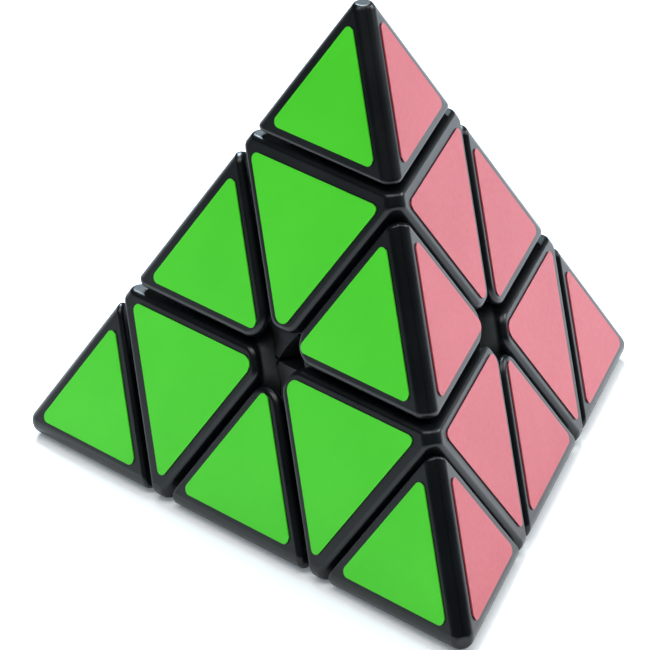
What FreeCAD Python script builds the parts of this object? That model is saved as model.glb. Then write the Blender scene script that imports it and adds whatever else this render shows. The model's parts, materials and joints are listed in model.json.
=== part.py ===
import FreeCAD, Part
import Sketcher

import math
import os

# A pyramid twisty puzzle, in millimetres.
#
# The outside is a regular tetrahedron that stands on one face. Four axes run from its middle, which
# is the origin, through its four corners. A flat cut square to each axis passes through the middles
# of three faces and frees that corner's layer; a second one, further out, frees the small tip.
# Inside a ball around the middle each layer's border lies lower, so that the edge pieces get feet
# that reach under their neighbours and hold the puzzle together.
#
# Each kind of piece is built once, at the top corner, and its copies are placed by rotation.

SIZES = {
    "edge_length": 103.8,       # between the sharp corners that the rounded solid leaves out
    "corner_radius": 2.1,       # of the six long outer edges
    "corner_trim": 0.4,         # that each tip's point is flat below where those radii would meet
    "groove_half": 0.4,         # from a cut to the plastic on either side of it
    "tip_cut_shift": 0.75,      # how far the tip cut lies above a third of the height
    "rim_radius": 0.9,          # of the borders of axials and edges
    "tip_rim_radius": 0.6,      # of the borders of tips
    "seam_radius": 0.07,        # of the fine groove along the outer edges, where the halves part
    "centre_hole": 4.1,         # from the middle of a face to the axials' blunt points
    "axial_point_round": 2.4,   # of an axial's point there, seen square to the face
    "edge_point_round": 3.7,    # of an edge piece's inner border, which ends in its two points
    "crest_round": 1.9,         # of an axial's four-sided point on an outer edge
    "shell_ball": 17.0,         # the edges' feet run inside this ball
    "core_ball": 12.5,
    "ball_gap": 0.15,           # between a ball and what slides on it
    "foot_cut": 4.0,            # from the middle to the border of a layer inside the ball
    "foot_gap": 0.2,            # from that border to the plastic on either side of it
    "wall": 1.8,                # of the hollow tips and edges
    "inner_wall": 2.6,          # of the edges, along their inner borders
    "plug_gap": 0.02,           # the light push fit between a tip's two pieces
    "arm_radius": 3.0,
    "arm_end": 21.6,            # from the middle to the end of a core arm
    "arm_gap": 0.08,
    "arm_hole_spare": 0.5,      # from a screw's point to the end of its hole
    "hub_radius": 5.0,
    "hub_bore": 3.9,
    "hub_gap": 0.08,
    "hub_bottom": 22.2,         # from the middle to the underside of a tip's hub
    "hub_floor": 2.0,
    "hub_float": 0.2,           # between a hub's underside and the floor of its seat
    "tip_plate": 2.4,
    "thread_radius": 1.25,
    "screw_hole": 1.6,
    "screw_length": 21.0,
    "head_radius": 2.7,
    "head_height": 1.9,
    "head_round": 0.5,
    "drive_radius": 1.15,
    "drive_depth": 1.2,
    "washer_radius": 3.6,
    "washer_thickness": 0.5,
    "spring_length": 7.0,
    "spring_radius": 2.75,
    "spring_wire": 0.45,
    "spring_pitch": 1.7,
    "spring_end_gap": 0.06,     # from either end of a spring to what it pushes on
    "sticker": 0.2,
    "sticker_round": 1.0,
    "axial_sticker_round": 1.6, # of an axial's sticker at the face's middle
    "tip_sticker_side": 3.59,   # from a sharp outer edge to the sticker
    "tip_sticker_base": 3.12,   # from the tip cut to the sticker
    "edge_sticker_side": 3.71,
    "edge_sticker_base": 2.49,  # from a layer cut to the sticker
    "axial_sticker_tip": 1.73,  # from the tip cut to the sticker
    "axial_sticker_base": 1.82,
}

FACE_COLOURS = {"top": "yellow", "front": "blue", "left": "red", "right": "green"}

doc = FreeCAD.newDocument("PyramidPuzzle")
sheet = doc.addObject("Spreadsheet::Sheet", "Sizes")


class Size:
    """A number with the sheet expression that gives it."""

    def __init__(self, value, text):
        self.value = value
        self.text = text

    def __add__(self, other):
        other = as_size(other)
        return Size(self.value + other.value, f"({self.text} + {other.text})")

    def __sub__(self, other):
        other = as_size(other)
        return Size(self.value - other.value, f"({self.text} - {other.text})")

    def __mul__(self, other):
        other = as_size(other)
        return Size(self.value * other.value, f"({self.text} * {other.text})")

    def __truediv__(self, other):
        other = as_size(other)
        return Size(self.value / other.value, f"({self.text} / {other.text})")

    def __neg__(self):
        return Size(-self.value, f"(0 - {self.text})")


def as_size(number):
    return number if isinstance(number, Size) else Size(float(number), f"{number:.10f}")


def fill_sheet():
    for row, (name, value) in enumerate(SIZES.items(), start=1):
        sheet.set(f"A{row}", name)
        sheet.set(f"B{row}", str(value))
        sheet.setAlias(f"B{row}", name)
    doc.recompute()
    return {name: Size(value, f"Sizes.{name}") for name, value in SIZES.items()}


S = fill_sheet()

# ---- Sizes that follow from the driving ones ----

HEIGHT = S["edge_length"] * math.sqrt(2 / 3)
FACE_DISTANCE = HEIGHT / 4
LAYER_CUT = HEIGHT / 12
TIP_CUT = HEIGHT * (5 / 12) + S["tip_cut_shift"]
FACE_THIRD = S["edge_length"] * (math.sqrt(3) / 6)
EDGE_DISTANCE = S["edge_length"] / (2 * math.sqrt(2))
HALF_DIHEDRAL = math.asin(1 / math.sqrt(3))
CREST_DISTANCE = EDGE_DISTANCE - S["corner_radius"] * (1 / math.sin(HALF_DIHEDRAL) - 1)
REACH = S["edge_length"]
OVERSHOOT = 1           # that a tool reaches past the face it cuts through
SHARP = math.radians(10)
SAME = 1e-4             # the largest distance between two points that count as one

# ---- Directions ----

Z_AXIS = FreeCAD.Vector(0, 0, 1)
ORIGIN = FreeCAD.Vector(0, 0, 0)


def corner_direction(turn_degrees):
    turn = math.radians(turn_degrees)
    out = 2 * math.sqrt(2) / 3
    return FreeCAD.Vector(out * math.cos(turn), out * math.sin(turn), -1 / 3)


CORNERS = {
    "top": Z_AXIS,
    "front": corner_direction(-90),
    "left": corner_direction(150),
    "right": corner_direction(30),
}
NAMES = list(CORNERS)
EDGES = [(a, b) for i, a in enumerate(NAMES) for b in NAMES[i + 1 :]]


def turned_to(along_z, along_x):
    """The rotation that takes +Z to one direction, and +X as near as it can to another."""
    side = along_z.cross(along_x)
    return FreeCAD.Rotation(side.cross(along_z), side, along_z, "ZXY")


def between_corners(first, second):
    """The rotation that takes the top and front corners to two others."""
    before = turned_to(CORNERS["top"], CORNERS["front"])
    after = turned_to(CORNERS[first], CORNERS[second])
    return after.multiply(before.inverted())


# ---- Small helpers for document objects ----


def add(kind, name, sizes=None, **values):
    thing = doc.addObject(kind, name)
    for key, value in values.items():
        setattr(thing, key, value)
    for key, size in (sizes or {}).items():
        thing.setExpression(key, size.text)
    return thing


def stand_along(thing, direction, distance):
    """Points an object's own +Z along a direction and starts it at a distance from the origin."""
    thing.Placement = FreeCAD.Placement(ORIGIN, FreeCAD.Rotation(Z_AXIS, direction))
    for letter, share in zip("xyz", direction):
        thing.setExpression(f"Placement.Base.{letter}", (distance * share).text)
    return thing


def rod(name, radius, length, direction=Z_AXIS, start=None):
    thing = add("Part::Cylinder", name, {"Radius": radius, "Height": length})
    return stand_along(thing, direction, start or as_size(0))


def half_space(name, direction, distance):
    """Everything that matters beyond a plane square to a direction."""
    return rod(name, REACH, REACH, direction, distance)


def ball(name, radius):
    return add("Part::Sphere", name, {"Radius": radius})


def cut(name, base, *tools):
    for number, tool in enumerate(tools[:-1], start=1):
        base = add("Part::Cut", f"{name}_less_{number}", Base=base, Tool=tool)
    return add("Part::Cut", name, Base=base, Tool=tools[-1])


def fuse(name, *shapes):
    return add("Part::MultiFuse", name, Shapes=list(shapes))


def common(name, *shapes):
    return add("Part::MultiCommon", name, Shapes=list(shapes))


def is_sharp(shape, edge):
    """Do the two faces at an edge meet at an angle there?"""
    point = edge.valueAt((edge.FirstParameter + edge.LastParameter) / 2)
    normals = []
    for face in shape.Faces:
        if any(edge.isSame(other) for other in face.Edges):
            normals.append(face.normalAt(*face.Surface.parameter(point)))
    return len(normals) == 2 and normals[0].getAngle(normals[1]) > SHARP


def round_edges(body, name, radius, chooses):
    """Adds a fillet to a body, on those edges of its last shape that chooses() picks."""
    sharp = body.Tip
    picked = [f"Edge{n}" for n, edge in enumerate(sharp.Shape.Edges, start=1) if chooses(edge)]
    fillet = body.newObject("PartDesign::Fillet", name)
    fillet.Base = (sharp, picked)
    fillet.setExpression("Radius", radius.text)
    body.Tip = fillet
    doc.recompute()


def rounded(name, base, radius, chooses=None):
    """A body with the base's edges that chooses() picks rounded, or else all its sharp ones."""
    body = add("PartDesign::Body", name, BaseFeature=base)
    doc.recompute()
    shape = body.Tip.Shape
    round_edges(body, f"{name}_fillet", radius, chooses or (lambda edge: is_sharp(shape, edge)))
    return body


def placed(name, base, rotation, point=ORIGIN, sizes=None):
    """A copy of a piece turned into its place, and moved to a point that may follow from the sheet."""
    body = add("PartDesign::Body", name, Label=name, AllowCompound=True, BaseFeature=base)
    body.Placement = FreeCAD.Placement(point, rotation)
    for key, size in (sizes or {}).items():
        body.setExpression(key, size.text)
    return body


def group(name, pieces):
    """Separate solids that share one sub-part."""
    return add("Part::Compound", name, Label=name, Links=pieces)


def body_with_sketch(name, plane_role, outline):
    body = add("PartDesign::Body", name)
    sketch = body.newObject("Sketcher::SketchObject", f"{name}_sketch")
    plane = next(f for f in body.Origin.OriginFeatures if f.Role == plane_role)
    sketch.AttachmentSupport = (plane, [""])
    sketch.MapMode = "FlatFace"
    sketch_outline(sketch, outline)
    return body, sketch


def turned_part(name, outline):
    """A body of revolution about Z from the corners of its half section, given as (radius, height)."""
    body, sketch = body_with_sketch(name, "XZ_Plane", outline)
    revolution = body.newObject("PartDesign::Revolution", f"{name}_revolution")
    revolution.Profile = sketch
    revolution.ReferenceAxis = (sketch, ["V_Axis"])
    revolution.Angle = 360
    body.Tip = revolution
    return body


def sketch_outline(sketch, outline):
    """A closed outline of straight lines whose corners are held by sizes from the sheet."""
    corners = [FreeCAD.Vector(x.value, y.value, 0) for x, y in outline]
    count = len(corners)
    for side, start in enumerate(corners):
        sketch.addGeometry(Part.LineSegment(start, corners[(side + 1) % count]), False)
    for side in range(count):
        sketch.addConstraint(Sketcher.Constraint("Coincident", side, 2, (side + 1) % count, 1))
    for side, pair in enumerate(outline):
        for kind, size in zip(("DistanceX", "DistanceY"), pair):
            number = sketch.addConstraint(Sketcher.Constraint(kind, -1, 1, side, 1, size.value))
            sketch.setExpression(f"Constraints[{number}]", size.text)


# ---- Planes and spaces that several pieces share ----


def faces_beside(*corners):
    """The outer faces that all these corners are on, each named by the corner across from it."""
    return [name for name in NAMES if name not in corners]


def outer_sides(name, faces, inset=None):
    """A half space for each of the outer faces, which may lie deeper by an inset."""
    distance = FACE_DISTANCE - inset if inset else FACE_DISTANCE
    return [half_space(f"{name}_face_{face}", CORNERS[face], -distance) for face in faces]


def within_face(face, direction):
    """A direction laid flat into the outer face across from a corner."""
    normal = CORNERS[face]
    return (direction - normal * direction.dot(normal)).normalize()


def edge_middle(first, second):
    return (CORNERS[first] + CORNERS[second]).normalize()


def seam(name, first, second):
    """A thin rod along the crest of the outer edge between two corners."""
    out = edge_middle(first, second)
    along = (CORNERS[first] - CORNERS[second]).normalize()
    line = add("Part::Cylinder", name, {"Radius": S["seam_radius"], "Height": S["edge_length"]})
    line.Placement = FreeCAD.Placement(ORIGIN, FreeCAD.Rotation(Z_AXIS, along))
    for letter, outward, back in zip("xyz", out, along):
        base = CREST_DISTANCE * outward - S["edge_length"] * (back / 2)
        line.setExpression(f"Placement.Base.{letter}", base.text)
    return line


def layer_inside(corner):
    """What a corner's layer fills inside the shell ball."""
    above = half_space(f"layer_{corner}_side", CORNERS[corner], S["foot_cut"] + S["foot_gap"])
    return common(f"layer_{corner}", ball(f"layer_{corner}_ball", S["shell_ball"]), above)


def room_for_layer(corner):
    """What the other pieces leave free inside the shell ball for a corner's layer to turn in."""
    above = half_space(f"room_{corner}_side", CORNERS[corner], S["foot_cut"] - S["foot_gap"])
    around = ball(f"room_{corner}_ball", S["shell_ball"] + S["ball_gap"])
    return common(f"room_{corner}", around, above)


ABOVE_CUT = LAYER_CUT + S["groove_half"]
BELOW_CUT = LAYER_CUT - S["groove_half"]
LAYER_TOP = layer_inside("top")
LAYER_FRONT = layer_inside("front")
ROOM_FOR = {name: room_for_layer(name) for name in NAMES[1:]}
CORE_ROOM = ball("core_room", S["core_ball"] + S["ball_gap"])


def on_plane(edge, way, distance):
    return all(abs(vertex.Point.dot(way) - distance) < SAME for vertex in edge.Vertexes)


def outer_faces_of(edge):
    return [name for name in NAMES if on_plane(edge, CORNERS[name], -FACE_DISTANCE.value)]


def is_outer_edge(edge):
    """Does an edge lie on two of the outer faces?"""
    return len(outer_faces_of(edge)) == 2


def is_inner_border(edge):
    """Does an edge lie on the borders of both the top and the front layer?"""
    return all(on_plane(edge, CORNERS[name], ABOVE_CUT.value) for name in ("top", "front"))


def is_beside_centre(edge):
    """Is an edge one of the two upright ones of the axial's flat cut beside a face's middle?"""
    for face in faces_beside("top"):
        if on_plane(edge, within_face(face, Z_AXIS), S["centre_hole"].value):
            return any(on_plane(edge, CORNERS[name], BELOW_CUT.value) for name in NAMES[1:])
    return False


def is_on_crest(edge):
    """Is an edge between the flat end of an axial's point and one of the outer faces?"""
    ends = [edge_middle("top", name) for name in NAMES[1:]]
    return bool(outer_faces_of(edge)) and any(
        on_plane(edge, end, CREST_DISTANCE.value) for end in ends
    )


# ---- Pieces, each at the top corner ----


def core():
    """The ball in the middle with four arms that the corners turn on."""
    arms = []
    holes = []
    for name, way in CORNERS.items():
        arms.append(rod(f"arm_{name}", S["arm_radius"], S["arm_end"], way))
        start = SCREW_TOP - S["screw_length"] - S["arm_hole_spare"]
        length = S["arm_end"] - start + OVERSHOOT
        holes.append(rod(f"arm_hole_{name}", S["thread_radius"], length, way, start))
    solid = fuse("core_solid", ball("core_ball", S["core_ball"]), *arms)
    return cut("core", solid, *holes)


SPRING_BOTTOM = S["hub_bottom"] + S["hub_floor"]
WASHER_BOTTOM = SPRING_BOTTOM + S["spring_length"]
SCREW_TOP = WASHER_BOTTOM + S["washer_thickness"]


def screw():
    """A self-tapping screw with a rounded head and a hexagonal drive, its head's underside on the washer."""
    zero = as_size(0)
    top = SCREW_TOP + S["head_height"]
    point = SCREW_TOP - S["screw_length"]
    outline = [
        (zero, point),
        (S["thread_radius"], point + S["thread_radius"]),
        (S["thread_radius"], SCREW_TOP),
        (S["head_radius"], SCREW_TOP),
        (S["head_radius"], top - S["head_round"]),
        (S["head_radius"] - S["head_round"], top),
        (zero, top),
    ]
    blank = turned_part("screw_blank", outline)
    drive = add("Part::Prism", "screw_drive", Polygon=6)
    drive.setExpression("Circumradius", S["drive_radius"].text)
    drive.setExpression("Height", (S["drive_depth"] + OVERSHOOT).text)
    drive.setExpression("Placement.Base.z", (top - S["drive_depth"]).text)
    return cut("screw", blank, drive)


def washer():
    zero = S["screw_hole"]
    top = WASHER_BOTTOM + S["washer_thickness"]
    outline = [
        (zero, WASHER_BOTTOM),
        (S["washer_radius"], WASHER_BOTTOM),
        (S["washer_radius"], top),
        (zero, top),
    ]
    return turned_part("washer", outline)


TURNS_PER_SEGMENT = 0.25


def spring():
    """A compression spring: a round wire on a helix, between the hub's floor and the washer."""
    room = S["spring_wire"] + S["spring_end_gap"]
    helix = add("Part::Helix", "spring_path", SegmentLength=TURNS_PER_SEGMENT)
    helix.setExpression("Radius", S["spring_radius"].text)
    helix.setExpression("Pitch", S["spring_pitch"].text)
    helix.setExpression("Height", (S["spring_length"] - room * 2).text)
    helix.setExpression("Placement.Base.z", (SPRING_BOTTOM + room).text)
    wire = add("Part::Circle", "spring_wire")
    wire.setExpression("Radius", S["spring_wire"].text)
    wire.Placement = FreeCAD.Placement(ORIGIN, FreeCAD.Rotation(FreeCAD.Vector(1, 0, 0), 90))
    wire.setExpression("Placement.Base.x", S["spring_radius"].text)
    wire.setExpression("Placement.Base.z", (SPRING_BOTTOM + room).text)
    sweep = add("Part::Sweep", "spring", Sections=[wire], Spine=(helix, []))
    sweep.Solid = True
    sweep.Frenet = True
    return sweep


def tip_cap():
    """The outer shell of a tip, open below."""
    bottom = TIP_CUT + S["groove_half"]
    sides = outer_sides("tip", faces_beside("top"))
    block = common("tip_block", half_space("tip_bottom", Z_AXIS, bottom), *sides)
    edged = rounded("tip_edged", block, S["corner_radius"], is_outer_edge)
    point = FACE_DISTANCE * 3 - S["corner_radius"] * 2 - S["corner_trim"]
    trimmed = common("tip_trimmed", edged, half_space("tip_point", -Z_AXIS, -point))
    smooth = rounded("tip_smooth", trimmed, S["tip_rim_radius"])
    walls = outer_sides("tip_room", faces_beside("top"), S["wall"])
    room = common("tip_room", half_space("tip_room_bottom", Z_AXIS, bottom - OVERSHOOT), *walls)
    seams = [seam(f"tip_seam_{name}", "top", name) for name in faces_beside("top")]
    return cut("tip_cap", smooth, room, *seams)


def tip_base():
    """The plate that closes a tip from below, with the hub that carries its spring."""
    bottom = TIP_CUT + S["groove_half"]
    top = bottom + S["tip_plate"]
    walls = outer_sides("tip_plug", faces_beside("top"), S["wall"] + S["plug_gap"])
    below = half_space("tip_plug_top", -Z_AXIS, -top)
    plate = common("tip_plate", half_space("tip_plug_bottom", Z_AXIS, bottom), below, *walls)
    hub = rod("hub", S["hub_radius"], top - S["hub_bottom"], Z_AXIS, S["hub_bottom"])
    pocket = rod("hub_pocket", S["hub_bore"], HEIGHT, Z_AXIS, SPRING_BOTTOM)
    hole = rod("hub_hole", S["screw_hole"], HEIGHT)
    return cut("tip_base", fuse("tip_base_solid", plate, hub), pocket, hole)


def axial():
    """The corner piece under a tip: an eight-sided block with a three-winged foot on the core."""
    top = TIP_CUT - S["groove_half"]
    planes = outer_sides("axial", faces_beside("top"))
    planes += [half_space(f"axial_cut_{name}", -CORNERS[name], -BELOW_CUT) for name in NAMES[1:]]
    for face in faces_beside("top"):
        away = within_face(face, Z_AXIS)
        planes.append(half_space(f"axial_centre_{face}", away, S["centre_hole"]))
    for name in NAMES[1:]:
        middle = edge_middle("top", name)
        planes.append(half_space(f"axial_corner_{name}", -middle, -CREST_DISTANCE))
    planes.append(half_space("axial_upper_side", -Z_AXIS, -top))
    block = common("axial_block", half_space("axial_bottom", Z_AXIS, ABOVE_CUT), *planes)
    pointed = rounded("axial_pointed", block, S["axial_point_round"], is_beside_centre)
    crested = rounded("axial_crested", pointed, S["crest_round"], is_on_crest)
    smooth = rounded("axial_smooth", crested, S["rim_radius"])
    solid = fuse("axial_solid", smooth, LAYER_TOP)
    seat_floor = S["hub_bottom"] - S["hub_float"]
    seat = rod("axial_seat", S["hub_radius"] + S["hub_gap"], HEIGHT, Z_AXIS, seat_floor)
    bore = rod("axial_bore", S["arm_radius"] + S["arm_gap"], HEIGHT)
    seams = [seam(f"axial_seam_{name}", "top", name) for name in NAMES[1:]]
    return cut("axial", solid, *ROOM_FOR.values(), CORE_ROOM, seat, bore, *seams)


def edge_half():
    """One half of the hollow edge piece between the top and front corners, parted at its middle."""
    ends = ("top", "front")
    faces = faces_beside(*ends)
    planes = outer_sides("edge", faces)
    planes.append(half_space("edge_cut_front", CORNERS["front"], ABOVE_CUT))
    block = common("edge_block", half_space("edge_cut_top", Z_AXIS, ABOVE_CUT), *planes)
    edged = rounded("edge_edged", block, S["corner_radius"], is_outer_edge)
    pointed = rounded("edge_pointed", edged, S["edge_point_round"], is_inner_border)
    smooth = rounded("edge_smooth", pointed, S["rim_radius"])
    foot = common("edge_foot", LAYER_TOP, LAYER_FRONT)
    inner = ABOVE_CUT + S["inner_wall"]
    walls = outer_sides("edge_room", faces, S["wall"])
    walls += [half_space(f"edge_room_{name}", CORNERS[name], inner) for name in ends]
    floor = ball("edge_room_floor", S["shell_ball"] + S["wall"])
    room = cut("edge_room", common("edge_walls", *walls), floor)
    line = seam("edge_seam", *ends)
    rooms = [ROOM_FOR[name] for name in faces]
    whole = cut("edge_whole", fuse("edge_solid", smooth, foot), *rooms, CORE_ROOM, room, line)
    side = half_space("edge_side", FreeCAD.Vector(1, 0, 0), as_size(0))
    return common("edge_half", whole, side)


def edge_pair(half):
    """An edge piece's two halves, which meet face to face."""
    mirror = add("Part::Mirroring", "edge_other_half", Source=half)
    mirror.Normal = FreeCAD.Vector(1, 0, 0)
    return add("Part::Compound", "edge_pair", Links=[half, mirror])


# ---- Stickers ----


def sticker(name, inner_radius, points_out, point_round):
    """A three-sided sticker about its own middle, on XY, that points out along +X or back along -X."""
    far = inner_radius * (2 if points_out else -2)
    back = inner_radius * (-1 if points_out else 1)
    half_side = inner_radius * math.sqrt(3)
    outline = [(far, as_size(0)), (back, half_side), (back, -half_side)]
    body, sketch = body_with_sketch(name, "XY_Plane", outline)
    pad = body.newObject("PartDesign::Pad", f"{name}_pad")
    pad.Profile = sketch
    pad.setExpression("Length", S["sticker"].text)
    body.Tip = pad
    doc.recompute()
    is_point = is_upright_near(far.value)
    round_edges(body, f"{name}_sides", S["sticker_round"], is_upright_near(back.value))
    round_edges(body, f"{name}_point", point_round, is_point)
    return body


def is_upright_near(x):
    """A test for straight edges along Z at a distance along X."""

    def chooses(edge):
        ends = [vertex.Point for vertex in edge.Vertexes]
        return all(abs(end.x - x) < SAME for end in ends) and abs(ends[0].y - ends[1].y) < SAME

    return chooses


def sticker_layout():
    """For each kind of sticker: its inner radius, its middle's distance from the face's, its direction."""
    tip = (FACE_THIRD - S["tip_sticker_side"] * 2 - S["tip_sticker_base"]) / 3
    edge = (FACE_THIRD - S["edge_sticker_side"] - S["edge_sticker_base"] * 2) / 3
    axial_radius = (FACE_THIRD - S["axial_sticker_tip"] - S["axial_sticker_base"] * 2) / 3
    return {
        "tip": (tip, FACE_THIRD + S["tip_sticker_base"] + tip, True, S["sticker_round"]),
        "axial": (
            axial_radius,
            FACE_THIRD - S["axial_sticker_tip"] - axial_radius,
            False,
            S["axial_sticker_round"],
        ),
        "edge": (edge, FACE_THIRD - S["edge_sticker_side"] - edge, False, S["sticker_round"]),
    }


def placed_sticker(name, base, face, direction, distance):
    """A sticker on the outer face across from a corner, away from the face's middle in a direction."""
    normal = -CORNERS[face]
    away = within_face(face, direction)
    sizes = {}
    for letter, out, along in zip("xyz", normal, away):
        sizes[f"Placement.Base.{letter}"] = FACE_DISTANCE * out + distance * along
    return placed(name, base, turned_to(normal, away), sizes=sizes)


def stickers():
    made = []
    for kind, (radius, distance, points_out, point_round) in sticker_layout().items():
        base = sticker(f"{kind}_sticker", radius, points_out, point_round)
        spots = EDGES if kind == "edge" else [(name,) for name in NAMES]
        for corners in spots:
            direction = edge_middle(*corners) if kind == "edge" else CORNERS[corners[0]]
            for face in faces_beside(*corners):
                name = "_".join((FACE_COLOURS[face], "sticker", kind, *corners))
                made.append(placed_sticker(name, base, face, direction, distance))
    return made


# ---- The whole puzzle ----


def to_corner(name):
    """The rotation that takes the top corner to another one."""
    return between_corners(name, "top" if name != "top" else "front")


def sub_parts():
    parts = [core()]
    for name, make in (("core_screws", screw), ("screw_washers", washer), ("tip_springs", spring)):
        base = make()
        copies = [placed(f"{name}_{corner}", base, to_corner(corner)) for corner in NAMES]
        parts.append(group(name, copies))
    for name, make in (("axial", axial), ("tip_base", tip_base), ("tip_cap", tip_cap)):
        base = make()
        parts += [placed(f"{name}_{corner}", base, to_corner(corner)) for corner in NAMES]
    pair = edge_pair(edge_half())
    for first, second in EDGES:
        parts.append(placed(f"edge_{first}_{second}", pair, between_corners(first, second)))
    return parts + stickers()


def check(parts):
    """Stops with a message if anything in the document failed or a sub-part isn't sound."""
    for thing in doc.Objects:
        if "Invalid" in thing.State or "Error" in thing.State:
            raise RuntimeError(f"{thing.Name} failed: {thing.State}")
    for part in parts:
        if part.Shape.isNull() or not part.Shape.isValid() or not part.Shape.Solids:
            raise RuntimeError(f"{part.Label} has no valid shape")


def write(parts):
    os.makedirs("parts", exist_ok=True)
    for part in parts:
        part.Shape.exportStep(os.path.join("parts", f"{part.Label}.step"))


PARTS = sub_parts()
doc.recompute()
check(PARTS)
write(PARTS)
print(f"{len(PARTS)} sub-parts written")
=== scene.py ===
"""Looks of the pyramid twisty puzzle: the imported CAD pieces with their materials, on a pale
studio table. Lengths are in metres."""
import json
import math

import bpy
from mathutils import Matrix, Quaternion, Vector


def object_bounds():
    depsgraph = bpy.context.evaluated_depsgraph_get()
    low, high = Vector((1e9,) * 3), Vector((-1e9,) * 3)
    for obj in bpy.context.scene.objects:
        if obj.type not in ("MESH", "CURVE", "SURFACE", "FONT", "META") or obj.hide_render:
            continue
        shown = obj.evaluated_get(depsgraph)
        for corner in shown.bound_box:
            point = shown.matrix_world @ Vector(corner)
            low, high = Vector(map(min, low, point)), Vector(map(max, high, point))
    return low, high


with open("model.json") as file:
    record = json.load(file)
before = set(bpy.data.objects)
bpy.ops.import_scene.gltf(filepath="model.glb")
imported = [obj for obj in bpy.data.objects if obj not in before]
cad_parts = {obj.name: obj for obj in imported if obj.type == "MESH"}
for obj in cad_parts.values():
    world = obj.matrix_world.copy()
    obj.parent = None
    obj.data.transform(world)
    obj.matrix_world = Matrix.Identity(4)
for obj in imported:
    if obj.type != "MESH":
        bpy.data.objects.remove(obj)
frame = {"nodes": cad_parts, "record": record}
cad_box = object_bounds()
scene = bpy.context.scene

# ---------------------------------------------------------------- numbers of the materials

# The way each side of the puzzle looks: yellow below, blue behind, red and green in front
SIDES = [(0, 0, -1), (0, 0.9428, 0.3333), (0.8165, -0.4714, 0.3333), (-0.8165, -0.4714, 0.3333)]
FACING_STEP = (0.80, 0.95)          # how squarely a sticker faces out, from cut edge to print
CUT_EDGE_SHADE = 0.12               # of a sticker's cut edge, as a share of its colour

# Distances from the middle of the puzzle, over which the look of its plastic changes; the
# lighter grey on the holes' walls is painted light
PAINTED_WALL_LIGHT_STEP = (0.0168, 0.0172)        # from the dark inside to the walls of the holes, where a lighter grey is painted as painted light
OUTSIDE_STEP = (0.0196, 0.0204)     # from those walls to the polished outside
DEEP_COLOUR = (0.006, 0.007, 0.008, 1)
# Painted light: a lighter grey on the plastic between these distances, which takes in the walls
# of the holes, standing in for light that falls into them
HOLE_WALL_PAINTED_LIGHT = (0.095, 0.106, 0.108, 1)
HOLE_ROUGHNESS = 0.5

NOISE_LOW, NOISE_HIGH = 0.3, 0.7    # the values that most of a noise lies between

PLASTIC_CLOUDS, PLASTIC_GRAIN = 90, 2600    # scales of the noises, in features per metre
VINYL_CLOUDS, VINYL_SPECKLE = 60, 1500
STEEL_SCRATCHES, SCRATCH_STRETCH = 900, (1, 1, 0.1)
FLOOR_CLOUDS = 40

PLASTIC_BUMP, VINYL_BUMP, STEEL_BUMP = 0.00002, 0.00003, 0.00002
VINYL_BUMP_STRENGTH, STEEL_BUMP_STRENGTH = 0.25, 0.15
PLASTIC_IOR, VINYL_IOR = 1.42, 1.43
VINYL_SMOOTH, VINYL_ROUGH = 0.32, 0.42

CUT_EDGE_ROUNDING = 0.00007
CUT_EDGE_SEGMENTS = 2

# ---------------------------------------------------------------- materials


def node_material(name):
    material = bpy.data.materials.new(name)
    material.use_nodes = True
    return material, material.node_tree.nodes, material.node_tree.links


def noise(nodes, links, scale, detail, stretch=(1, 1, 1)):
    """Noise in object coordinates, which are metres in the part's own frame."""
    place = nodes.new("ShaderNodeTexCoord")
    mapping = nodes.new("ShaderNodeMapping")
    mapping.inputs["Scale"].default_value = stretch
    texture = nodes.new("ShaderNodeTexNoise")
    texture.inputs["Scale"].default_value = scale
    texture.inputs["Detail"].default_value = detail
    links.new(place.outputs["Object"], mapping.inputs["Vector"])
    links.new(mapping.outputs["Vector"], texture.inputs["Vector"])
    return texture.outputs["Fac"]


def ramp(nodes, links, value, low, high):
    """A noise's value turned into a colour from low to high."""
    node = nodes.new("ShaderNodeValToRGB")
    ends = node.color_ramp.elements
    ends[0].position, ends[1].position = NOISE_LOW, NOISE_HIGH
    ends[0].color, ends[1].color = (*low, 1), (*high, 1)
    links.new(value, node.inputs["Fac"])
    return node.outputs["Color"]


def spread(nodes, links, value, low, high):
    """A noise's value turned into a number from low to high."""
    node = nodes.new("ShaderNodeMapRange")
    node.inputs["From Min"].default_value = NOISE_LOW
    node.inputs["From Max"].default_value = NOISE_HIGH
    node.inputs["To Min"].default_value = low
    node.inputs["To Max"].default_value = high
    links.new(value, node.inputs["Value"])
    return node.outputs["Result"]


def distance_from_middle(nodes, links):
    """How far a point is from the middle of the puzzle, the origin of the part's own frame."""
    place = nodes.new("ShaderNodeTexCoord")
    reach = nodes.new("ShaderNodeVectorMath")
    reach.operation = "LENGTH"
    links.new(place.outputs["Object"], reach.inputs[0])
    return reach.outputs["Value"]


def step(nodes, links, value, start, end):
    """0 up to start, 1 from end on, and a soft step between them."""
    node = nodes.new("ShaderNodeMapRange")
    node.interpolation_type = "SMOOTHSTEP"
    node.inputs["From Min"].default_value = start
    node.inputs["From Max"].default_value = end
    links.new(value, node.inputs["Value"])
    return node.outputs["Result"]


def blend(nodes, links, share, first, second, kind="RGBA"):
    """From first to second, each an output or a plain value, by a share from 0 to 1."""
    mix = nodes.new("ShaderNodeMix")
    mix.data_type = kind
    sockets = [socket for socket in mix.inputs if socket.enabled]
    links.new(share, sockets[0])
    for socket, given in zip(sockets[1:], (first, second)):
        if isinstance(given, bpy.types.NodeSocket):
            links.new(given, socket)
        else:
            socket.default_value = given
    return next(socket for socket in mix.outputs if socket.enabled)


def bump(nodes, links, height, strength, distance):
    node = nodes.new("ShaderNodeBump")
    node.inputs["Strength"].default_value = strength
    node.inputs["Distance"].default_value = distance
    links.new(height, node.inputs["Height"])
    return node.outputs["Normal"]


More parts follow.
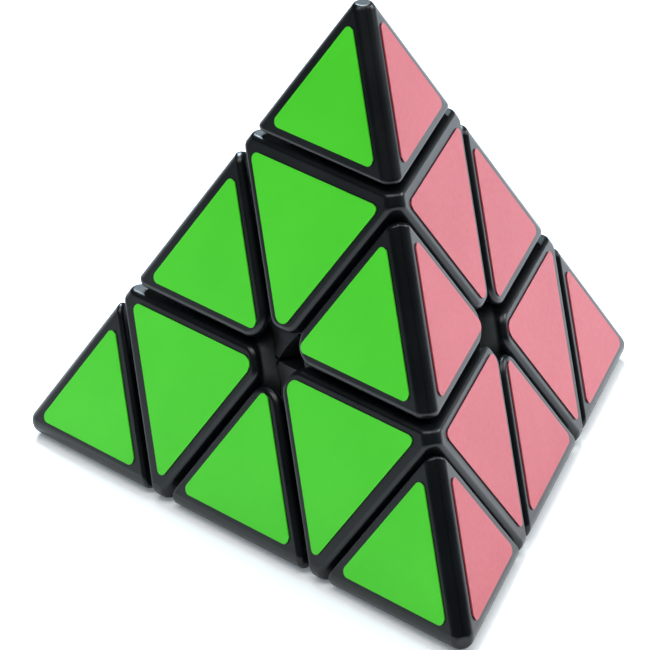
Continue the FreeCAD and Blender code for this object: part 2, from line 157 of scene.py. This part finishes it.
def moulded_plastic(name, dark, light, smooth, rough, grain):
    """Moulded plastic: polished outside, rougher on the holes' walls with a lighter grey
    painted there as painted light, and darker deep inside.
    """
    material, nodes, links = node_material(name)
    shader = nodes["Principled BSDF"]
    cloudy = noise(nodes, links, PLASTIC_CLOUDS, 3)
    fine = noise(nodes, links, PLASTIC_GRAIN, 2)
    reach = distance_from_middle(nodes, links)
    painted_wall_light = step(nodes, links, reach, *PAINTED_WALL_LIGHT_STEP)
    outside = step(nodes, links, reach, *OUTSIDE_STEP)
    # the dark inside's colour, with painted light as a lighter grey on the holes' walls
    inside_and_painted_wall_light = blend(nodes, links, painted_wall_light, DEEP_COLOUR, HOLE_WALL_PAINTED_LIGHT)
    outer_colour = ramp(nodes, links, cloudy, dark, light)
    colour = blend(nodes, links, outside, inside_and_painted_wall_light, outer_colour)
    links.new(colour, shader.inputs["Base Color"])
    outer_gloss = spread(nodes, links, cloudy, smooth, rough)
    gloss = blend(nodes, links, outside, HOLE_ROUGHNESS, outer_gloss, "FLOAT")
    links.new(gloss, shader.inputs["Roughness"])
    links.new(bump(nodes, links, fine, grain, PLASTIC_BUMP), shader.inputs["Normal"])
    shader.inputs["IOR"].default_value = PLASTIC_IOR
    return material


def faces_outward(nodes, links):
    """1 where a surface looks straight out of one of the puzzle's sides, 0 on a cut edge."""
    place = nodes.new("ShaderNodeTexCoord")
    best = None
    for side in SIDES:
        facing = nodes.new("ShaderNodeVectorMath")
        facing.operation = "DOT_PRODUCT"
        facing.inputs[1].default_value = side
        links.new(place.outputs["Normal"], facing.inputs[0])
        if best is None:
            best = facing.outputs["Value"]
            continue
        larger = nodes.new("ShaderNodeMath")
        larger.operation = "MAXIMUM"
        links.new(facing.outputs["Value"], larger.inputs[0])
        links.new(best, larger.inputs[1])
        best = larger.outputs["Value"]
    return step(nodes, links, best, *FACING_STEP)


def vinyl(name, dark, light):
    """Satin printed vinyl with a fine orange-peel texture and a darker cut edge."""
    material, nodes, links = node_material(name)
    shader = nodes["Principled BSDF"]
    cloudy = noise(nodes, links, VINYL_CLOUDS, 2)
    speckle = noise(nodes, links, VINYL_SPECKLE, 3)
    edge = [share * CUT_EDGE_SHADE for share in dark]
    print_colour = ramp(nodes, links, cloudy, dark, light)
    colour = blend(nodes, links, faces_outward(nodes, links), (*edge, 1), print_colour)
    links.new(colour, shader.inputs["Base Color"])
    gloss = spread(nodes, links, speckle, VINYL_SMOOTH, VINYL_ROUGH)
    links.new(gloss, shader.inputs["Roughness"])
    peel = bump(nodes, links, speckle, VINYL_BUMP_STRENGTH, VINYL_BUMP)
    links.new(peel, shader.inputs["Normal"])
    shader.inputs["IOR"].default_value = VINYL_IOR
    return material


def steel(name, dark, light, smooth, rough):
    """Plated or drawn steel with fine scratches along one way."""
    material, nodes, links = node_material(name)
    shader = nodes["Principled BSDF"]
    scratches = noise(nodes, links, STEEL_SCRATCHES, 4, SCRATCH_STRETCH)
    links.new(ramp(nodes, links, scratches, dark, light), shader.inputs["Base Color"])
    links.new(spread(nodes, links, scratches, smooth, rough), shader.inputs["Roughness"])
    grooves = bump(nodes, links, scratches, STEEL_BUMP_STRENGTH, STEEL_BUMP)
    links.new(grooves, shader.inputs["Normal"])
    shader.inputs["Metallic"].default_value = 1.0
    return material


# Maker and its values: darker and lighter colour, then smoothest and roughest gloss, then grain
LOOKS = {
    "black_plastic": (
        moulded_plastic, (0.0016, 0.0027, 0.0036), (0.0028, 0.0042, 0.0054), 0.27, 0.34, 0.06
    ),
    "inner_plastic": (
        moulded_plastic, (0.0100, 0.0110, 0.0120), (0.0160, 0.0170, 0.0180), 0.34, 0.46, 0.20
    ),
    "screw_steel": (steel, (0.50, 0.51, 0.53), (0.62, 0.63, 0.65), 0.22, 0.36),
    "spring_steel": (steel, (0.34, 0.35, 0.37), (0.46, 0.47, 0.49), 0.26, 0.40),
    "green_sticker": (vinyl, (0.060, 0.665, 0.012), (0.070, 0.705, 0.016)),
    "red_sticker": (vinyl, (0.535, 0.064, 0.088), (0.575, 0.076, 0.102)),
    "blue_sticker": (vinyl, (0.012, 0.090, 0.480), (0.016, 0.110, 0.560)),
    "yellow_sticker": (vinyl, (0.800, 0.600, 0.016), (0.860, 0.660, 0.022)),
}
MATERIALS = {name: make(name, *values) for name, (make, *values) in LOOKS.items()}

SLOT_OF = {part["node"]: part["material_slot"] for part in frame["record"]["subparts"]}
for node, piece in frame["nodes"].items():
    piece.data.materials.clear()
    piece.data.materials.append(MATERIALS[SLOT_OF[node]])
    if "sticker" in node:
        rounding = piece.modifiers.new("cut_edge", "BEVEL")
        rounding.width = CUT_EDGE_ROUNDING
        rounding.segments = CUT_EDGE_SEGMENTS
        rounding.limit_method = "ANGLE"

# ---------------------------------------------------------------- stage

FLOOR_HALF_SIDE = 4.0
FLOOR_GAP = 0.0001                  # between the puzzle and the table
FLOOR_DARK, FLOOR_LIGHT = (0.88, 0.88, 0.88), (0.90, 0.90, 0.90)
FLOOR_ROUGHNESS = 0.7
FLOOR_GLOW, FLOOR_GLOW_STRENGTH = (0.80, 0.92, 1.0, 1), 0.20


def pale_floor():
    material, nodes, links = node_material("pale_floor")
    shader = nodes["Principled BSDF"]
    paper = noise(nodes, links, FLOOR_CLOUDS, 2)
    colour = ramp(nodes, links, paper, FLOOR_DARK, FLOOR_LIGHT)
    links.new(colour, shader.inputs["Base Color"])
    shader.inputs["Roughness"].default_value = FLOOR_ROUGHNESS
    shader.inputs["Emission Color"].default_value = FLOOR_GLOW
    shader.inputs["Emission Strength"].default_value = FLOOR_GLOW_STRENGTH
    return material


floor_level = cad_box[0][2] - FLOOR_GAP
floor_mesh = bpy.data.meshes.new("floor")
floor_mesh.from_pydata(
    [
        (FLOOR_HALF_SIDE * x, FLOOR_HALF_SIDE * y, floor_level)
        for x, y in ((-1, -1), (1, -1), (1, 1), (-1, 1))
    ],
    [],
    [(0, 1, 2, 3)],
)
floor = bpy.data.objects.new("floor", floor_mesh)
scene.collection.objects.link(floor)
floor_mesh.materials.append(pale_floor())

# Name, place, aim, size, power in watts and colour of each round soft light
MIDDLE = (0, 0, 0)
WHITE = (1, 1, 1)
LIGHTS = [
    ("left_box", (-0.48, -0.10, 0.82), MIDDLE, 0.5, 2.65, WHITE),
    ("right_box", (0.73, -0.17, 1.30), MIDDLE, 0.8, 5.5, WHITE),
    ("top_box", (0, 0, 1.5), MIDDLE, 0.8, 4, WHITE),
    ("camera_box", (-0.09, -0.38, 1.45), MIDDLE, 0.8, 4.8, WHITE),
    ("right_side", (1.27, 0.26, 0.75), MIDDLE, 0.7, 9.8, (0.92, 0.96, 1.0)),
    ("table_glow", (0.10, 0.85, 0.95), (0.30, 0.17, 0), 0.6, 26, (0.74, 0.88, 1.0)),
]
for name, place, aim, size, power, colour in LIGHTS:
    light = bpy.data.lights.new(name, "AREA")
    light.shape = "DISK"
    light.size = size
    light.energy = power
    light.color = colour
    lamp = bpy.data.objects.new(name, light)
    lamp.location = place
    lamp.rotation_euler = (Vector(aim) - Vector(place)).to_track_quat("-Z", "Y").to_euler()
    scene.collection.objects.link(lamp)

ROOM_COLOUR, ROOM_STRENGTH = (0.85, 0.9, 1.0, 1), 0.02
world = bpy.data.worlds.new("studio")
world.use_nodes = True
room = world.node_tree.nodes["Background"]
room.inputs["Color"].default_value = ROOM_COLOUR
room.inputs["Strength"].default_value = ROOM_STRENGTH
scene.world = world
scene.view_settings.view_transform = "Standard"

# ---------------------------------------------------------------- camera

CAMERA_PLACE = Vector((-0.1532, -0.6473, 0.3531))
CAMERA_AIM = Vector((-0.0062, 0.0035, 0.0040))
CAMERA_ROLL = math.radians(-1.4)
FOCAL_LENGTH_MM = 270.8
SENSOR_WIDTH_MM = 36
NEAREST = 0.01

look = (CAMERA_AIM - CAMERA_PLACE).to_track_quat("-Z", "Y")
lens = bpy.data.cameras.new("camera")
lens.lens = FOCAL_LENGTH_MM
lens.sensor_width = SENSOR_WIDTH_MM
lens.clip_start = NEAREST
camera = bpy.data.objects.new("camera", lens)
camera.location = CAMERA_PLACE
camera.rotation_euler = (look @ Quaternion((0, 0, 1), CAMERA_ROLL)).to_euler()
scene.collection.objects.link(camera)
scene.camera = camera
